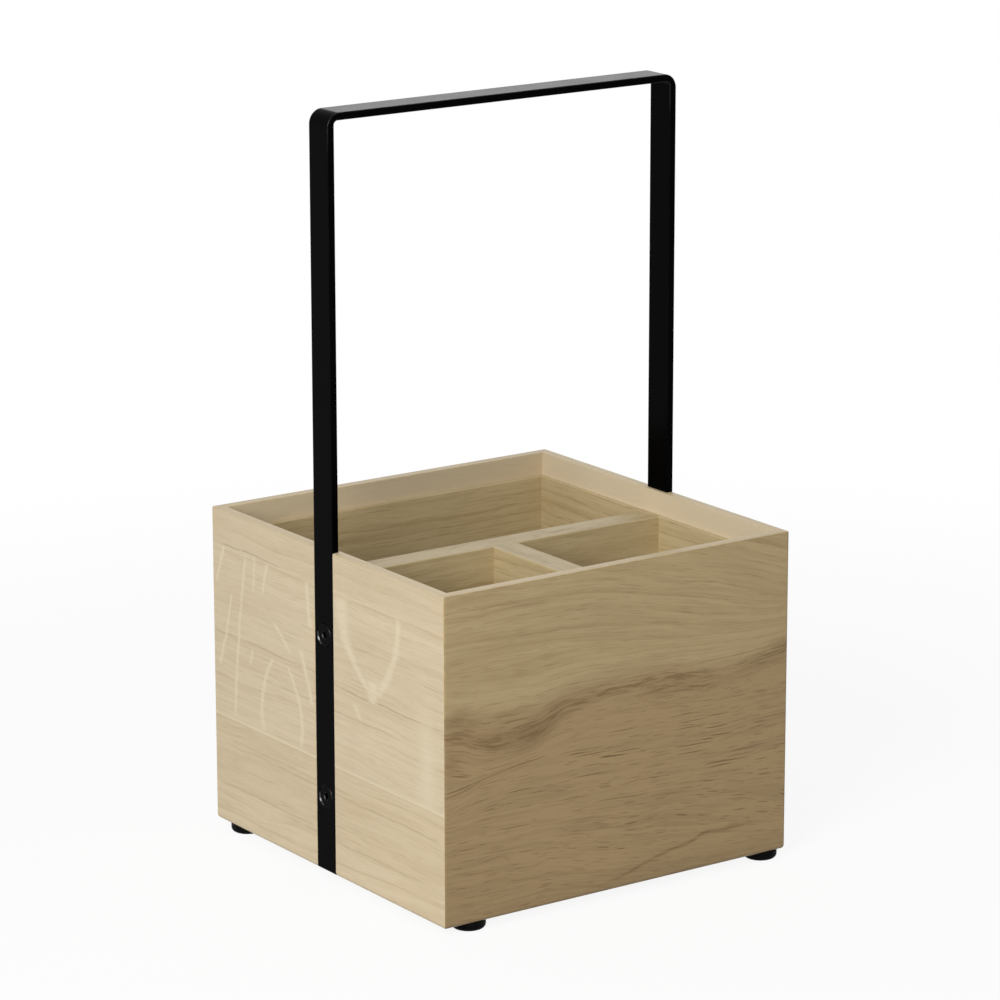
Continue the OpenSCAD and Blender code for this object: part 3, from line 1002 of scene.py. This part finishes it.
class CADDY_OT_walls(bpy.types.Operator):
    """Model the four mitred walls of oak, with the groove for the handle in each side wall"""

    bl_idname = "caddy.walls"
    bl_label = "Walls"

    def execute(self, context):
        sizes = context.scene.caddy_boards
        front = wall_board("front_board", 2 * HALF_W, HALF_D, 0, WOOD_Z, RIM_Z)
        settle(front, "front_panel", "oak_front", front_oak())
        back = wall_board("back_board", 2 * HALF_W, HALF_D, 2, WOOD_Z, RIM_Z)
        settle(back, "back_panel", "oak_front", back_oak())
        groove = STRAP_W + 2 * sizes.groove_play
        staves = (
            ("left", "upper", 3, side_upper_oak("Left upper oak", 3.0, LEFT_FLECKS, LEFT_LINES)),
            ("left", "lower", 3, side_lower_oak("Left lower oak", 4.0, LEFT_LOW_LINES)),
            ("right", "upper", 1, side_upper_oak("Right upper oak", 5.0, RIGHT_FLECKS)),
            ("right", "lower", 1, side_lower_oak("Right lower oak", 6.0)),
        )
        for side, level, turn, material in staves:
            upper = level == "upper"
            low, high = (GLUE_Z, RIM_Z) if upper else (WOOD_Z, GLUE_Z)
            stave = wall_board(
                f"{side}_{level}_stave", 2 * HALF_D, HALF_W, turn, low, high, groove, not upper, upper
            )
            x = (HALF_W - WALL_T / 2) * (-1 if side == "left" else 1)
            z = screw_heights()[0 if upper else 1]
            cut(stave, [drill(Vector((x, 0, z)), sizes.screw_hole, 4 * WALL_T)])
            settle(stave, f"{side}_panel_{level}", "oak_side", material)
        return {"FINISHED"}


class CADDY_OT_base(bpy.types.Operator):
    """Finish the base board"""

    bl_idname = "caddy.base"
    bl_label = "Base"

    def execute(self, context):
        finish(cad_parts["base_panel"], inner_oak("Base oak", 7.0, "XYZ", 8.0))
        return {"FINISHED"}


class CADDY_OT_linings(bpy.types.Operator):
    """Finish the four thin lining boards"""

    bl_idname = "caddy.linings"
    bl_label = "Linings"

    def execute(self, context):
        for k, side in enumerate(("front", "back", "left", "right")):
            order = "XZY" if k < 2 else "YZX"
            finish(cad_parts[f"lining_{side}"], inner_oak(f"Lining oak, {side}", 8.0 + k, order))
        return {"FINISHED"}


class CADDY_OT_dividers(bpy.types.Operator):
    """Finish the two dividers"""

    bl_idname = "caddy.dividers"
    bl_label = "Dividers"

    def execute(self, context):
        finish(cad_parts["long_divider"], inner_oak("Long divider oak", 12.0, "XZY", 6.0))
        finish(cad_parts["cross_divider"], inner_oak("Cross divider oak", 13.0, "YZX", 6.0))
        return {"FINISHED"}


class CADDY_OT_handle(bpy.types.Operator):
    """Model the bent flat-bar handle with soft edges, bevelled ends and its countersunk holes"""

    bl_idname = "caddy.handle"
    bl_label = "Handle"

    def execute(self, context):
        sizes = context.scene.caddy_handle
        thick, wide, edge, inner = STRAP_T, STRAP_W, sizes.edge_radius, sizes.bend_radius
        outer = inner + thick + sizes.bend_stretch
        top, end = STRAP_HIGH.z, STRAP_LOW.z
        # Each station: a point on the bar's outer face, its fellow on the inner face, and the outer bevel.
        stations = []
        for up, bevel in ((0.0, sizes.end_bevel), (sizes.end_bevel, 0.0), (sizes.end_bevel + 0.1 * MM, 0.0)):
            stations.append((Vector((-HALF_W, end + up)), Vector((-HALF_W + thick, end + up)), bevel))
        for a in arc(17, 180, -90):
            way = Vector((cos(a), sin(a)))
            out_point = Vector((-HALF_W + outer, top - outer)) + way * outer
            in_point = Vector((-HALF_W + thick + inner, top - thick - inner)) + way * inner
            stations.append((out_point, in_point, 0.0))
        stations += [(Vector((-a.x, a.y)), Vector((-b.x, b.y)), bevel) for a, b, bevel in reversed(stations)]
        # The bar's section: across it, in from its outer face, and whether the edge there wears.
        section = []
        for k, (side_y, depth) in enumerate(((1, edge), (1, thick - edge), (-1, thick - edge), (-1, edge))):
            for j, a in enumerate(arc(6, 90 * (1 - k), -90)):
                y = side_y * (wide / 2 - edge) + edge * cos(a)
                section.append((y, depth - edge * sin(a), 1.0 if 0 < j < 5 else 0.0))
        points, worn = [], []
        for out_point, in_point, bevel in stations:
            inwards = (in_point - out_point).normalized()
            for y, d, e in section:
                if d < thick / 2:
                    at = out_point + inwards * max(d, bevel)
                else:
                    at = in_point - inwards * (thick - d)
                points.append((at.x, y, at.y))
                worn.append(max(e, 1.0 if bevel else 0.0))
        bar = new_piece("handle_bar", points, rings_to_faces(len(section), len(stations)), worn)
        hole, wide_hole, over = context.scene.caddy_boards.screw_hole / 2, sizes.countersink / 2, 0.5 * MM
        rings = [(-2 * thick, hole), (hole - wide_hole, hole), (over, wide_hole + over)]
        cut(bar, [
            lathe(rings, Vector((sign * HALF_W, 0, z)), Vector((sign, 0, 0)), "countersink")
            for sign in (-1, 1)
            for z in screw_heights()
        ])
        settle(bar, "handle_strap", "black_powder_coat", powder_coat())
        return {"FINISHED"}


class CADDY_OT_screws(bpy.types.Operator):
    """Model the four countersunk screws, with hexagon sockets and threaded shanks"""

    bl_idname = "caddy.screws"
    bl_label = "Screws"

    def execute(self, context):
        sizes = context.scene.caddy_screws
        plating = black_plating()
        rim, round_rim, pitch = sizes.head_width / 2, sizes.head_rim, sizes.thread_pitch
        crest, bottom = sizes.shank_width / 2, -sizes.socket_depth
        root, blunt = crest - 0.42 * MM, crest - 0.03 * MM
        neck = -round_rim - (rim - crest)
        half_flats = sizes.socket_width / 2

        def hexagon(angle):
            return half_flats / cos((angle % (pi / 3)) - pi / 6)

        for node in SCREW_NODES:
            low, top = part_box(node)
            middle, sign = (low + top) / 2, -1 if top.x < 0 else 1
            long = top.x - low.x
            # A blunt tip, the thread, the head's rounded rim and the socket with its chamfered mouth.
            rings = [(-long, root * 0.72), (-long + 0.5 * MM, root)]
            for k in range(int((long + neck - 1.8 * MM) / pitch)):
                at = -long + 0.9 * MM + k * pitch
                turn = ((0.0, root), (0.32, blunt), (0.45, blunt), (0.78, root))
                rings += [(at + share * pitch, radius) for share, radius in turn]
            rings += [(neck - 0.3 * MM, root), (neck, crest - 0.02 * MM)]
            rings += [(-round_rim * (1 - sin(a)), rim - round_rim * (1 - cos(a)), 1.0) for a in arc(6)]
            rings += [
                (0.0, rim - round_rim - 0.1 * MM), (0.0, half_flats * 1.40), (0.0, half_flats * 1.36, 1.0),
                (-0.08 * MM, half_flats * 1.27, 1.0), (-0.35 * MM, hexagon, 1.0), (bottom, hexagon),
                (bottom, half_flats * 0.86), (bottom - 0.35 * MM, 0.02 * MM),
            ]
            origin = Vector((low.x if sign < 0 else top.x, middle.y, middle.z))
            screw = lathe(rings, origin, Vector((sign, 0, 0)), node.replace("screw", "flat_screw"))
            settle(screw, node, "black_screw", plating)
        return {"FINISHED"}


class CADDY_OT_inserts(bpy.types.Operator):
    """Finish the brass threaded inserts inside the long divider"""

    bl_idname = "caddy.inserts"
    bl_label = "Inserts"

    def execute(self, context):
        brass = turned_brass()
        for node in INSERT_NODES:
            finish(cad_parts[node], brass)
        return {"FINISHED"}


class CADDY_OT_feet(bpy.types.Operator):
    """Model the four moulded rubber feet"""

    bl_idname = "caddy.feet"
    bl_label = "Feet"

    def execute(self, context):
        sizes = context.scene.caddy_feet
        rubber = moulded_rubber()
        for node in FOOT_NODES:
            low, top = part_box(node)
            wide, high = (top.x - low.x) / 2, top.z - low.z
            round_low, round_top = sizes.lower_radius, sizes.upper_radius
            rings = [(0.45 * MM, 0.4 * MM), (0.45 * MM, 2.2 * MM), (0.3 * MM, 2.6 * MM), (0.0, 2.9 * MM)]
            rings += [(round_low * (1 - cos(a)), wide - round_low * (1 - sin(a))) for a in arc(11)]
            rings += [(high - round_top * (1 - sin(a)), wide - round_top * (1 - cos(a))) for a in arc(5)]
            origin = Vector(((low.x + top.x) / 2, (low.y + top.y) / 2, low.z))
            foot = lathe(rings, origin, Vector((0, 0, 1)), node.replace("foot", "rubber_foot"))
            settle(foot, node, "black_rubber", rubber)
        return {"FINISHED"}


WHITE = (1.0, 1.0, 1.0)
CAMERA_AT = Vector((-1.13232, -1.61458, 0.67823))
AZIMUTH, ELEVATION, ROLL = radians(-35.078), radians(14.596), radians(-0.075)
SENSOR = 36.0
LENS = SENSOR * 4458.3 / 1000.0
FLOOR_REACH = 14.0


class CADDY_OT_stage(bpy.types.Operator):
    """Set up the plain floor, the soft studio light and the camera"""

    bl_idname = "caddy.stage"
    bl_label = "Stage"

    def execute(self, context):
        studio = context.scene.caddy_studio
        mesh = bpy.data.meshes.new("floor")
        corners = [(x * FLOOR_REACH, y * FLOOR_REACH, 0) for x, y in ((-1, -1), (1, -1), (1, 1), (-1, 1))]
        mesh.from_pydata(corners, [], [(0, 1, 2, 3)])
        floor = link("floor", mesh)
        floor.data.materials.append(self.floor_material(studio))
        floor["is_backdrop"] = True

        self.lamp("Key lamp", studio.key_power, 1.0, (-1.38, -0.86, 0.88), (0, 0, 0.10))
        self.lamp("Back lamp", studio.back_power, 0.63, (1.11, 1.585, 0.8575), (0, 0, 0.35))

        world = bpy.data.worlds.new("Soft white room")
        world.use_nodes = True
        net = Net(world.node_tree)
        net.fill(net.find("BACKGROUND").inputs, Color=WHITE, Strength=net.most(self.seen(net), studio.sky))
        context.scene.world = world

        right = Vector((cos(AZIMUTH), sin(AZIMUTH), 0))
        back = Vector((sin(AZIMUTH) * cos(ELEVATION), -cos(AZIMUTH) * cos(ELEVATION), sin(ELEVATION)))
        up = back.cross(right)
        right, up = cos(ROLL) * right + sin(ROLL) * up, cos(ROLL) * up - sin(ROLL) * right
        camera = bpy.data.cameras.new("camera")
        camera.lens, camera.sensor_width = LENS, SENSOR
        camera.clip_start, camera.clip_end = 0.05, 60.0
        holder = link("camera", camera)
        turned = Matrix((right, up, back)).transposed().to_4x4()
        holder.matrix_world = Matrix.Translation(CAMERA_AT) @ turned
        context.scene.camera = holder
        context.scene.view_settings.view_transform = "Standard"
        return {"FINISHED"}

    def seen(self, net):
        """1 for a ray that shows the place to the camera, straight or through a mirror or glass."""
        path = net.outputs(net.node("LightPath"))
        return net.most(path["Is Camera Ray"], path["Is Glossy Ray"], path["Is Transmission Ray"])

    def lamp(self, name, power, size, at, towards):
        light = bpy.data.lights.new(name, "AREA")
        light.shape, light.size, light.energy = "DISK", size, power
        holder = link(name, light)
        holder.location = at
        holder.rotation_euler = (Vector(towards) - Vector(at)).to_track_quat("-Z", "Y").to_euler()

    def floor_material(self, studio):
        """Pale and plain. To the camera it is lifted to white, but it keeps the shadow that falls on it."""
        made, net, sockets = new_material("Plain floor")
        shader, glow, both = net.find("BSDF_PRINCIPLED"), net.node("Emission"), net.node("MixShader")
        here = net.axes(net.here())
        away = net.distance(here["X"], here["Y"])
        seen = self.seen(net)
        net.put(both.inputs[0], seen * net.ramp(away, 0.25, 0.8, 0.9, 1.0))
        net.fill(glow.inputs, Color=WHITE)
        shown = net.blend(seen, studio.floor, WHITE)
        net.fill(sockets, Base_Color=shown, Roughness=0.9, Specular_IOR_Level=0.1)
        out = net.find("OUTPUT_MATERIAL").inputs["Surface"]
        for node, socket in ((shader, both.inputs[1]), (glow, both.inputs[2]), (both, out)):
            net.put(socket, Value(net, node.outputs[0]))
        return made


STEPS = (
    CADDY_OT_walls,
    CADDY_OT_base,
    CADDY_OT_linings,
    CADDY_OT_dividers,
    CADDY_OT_handle,
    CADDY_OT_screws,
    CADDY_OT_inserts,
    CADDY_OT_feet,
    CADDY_OT_stage,
)


class CADDY_PT_panel(bpy.types.Panel):
    """The caddy's pieces and their sizes and colours"""

    bl_label = "Oak table caddy"
    bl_space_type = "VIEW_3D"
    bl_region_type = "UI"
    bl_category = "Caddy"

    def draw(self, context):
        for step in STEPS:
            self.layout.operator(step.bl_idname)
        for attribute, kind in SETTINGS.items():
            box = self.layout.box()
            box.label(text=attribute.replace("caddy_", "").capitalize())
            for name in kind.__annotations__:
                box.prop(getattr(context.scene, attribute), name)


CLASSES = (*SETTINGS.values(), *STEPS, CADDY_PT_panel)


def register():
    for each in CLASSES:
        bpy.utils.register_class(each)
    for attribute, kind in SETTINGS.items():
        setattr(bpy.types.Scene, attribute, PointerProperty(type=kind))


def unregister():
    for attribute in SETTINGS:
        delattr(bpy.types.Scene, attribute)
    for each in reversed(CLASSES):
        bpy.utils.unregister_class(each)


def main():
    register()
    for step in STEPS:
        area, action = step.bl_idname.split(".")
        getattr(getattr(bpy.ops, area), action)()
    bpy.context.view_layer.update()
    boxes = {"cad": CAD_BOX, "visual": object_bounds()}


if __name__ == "__main__":
    main()
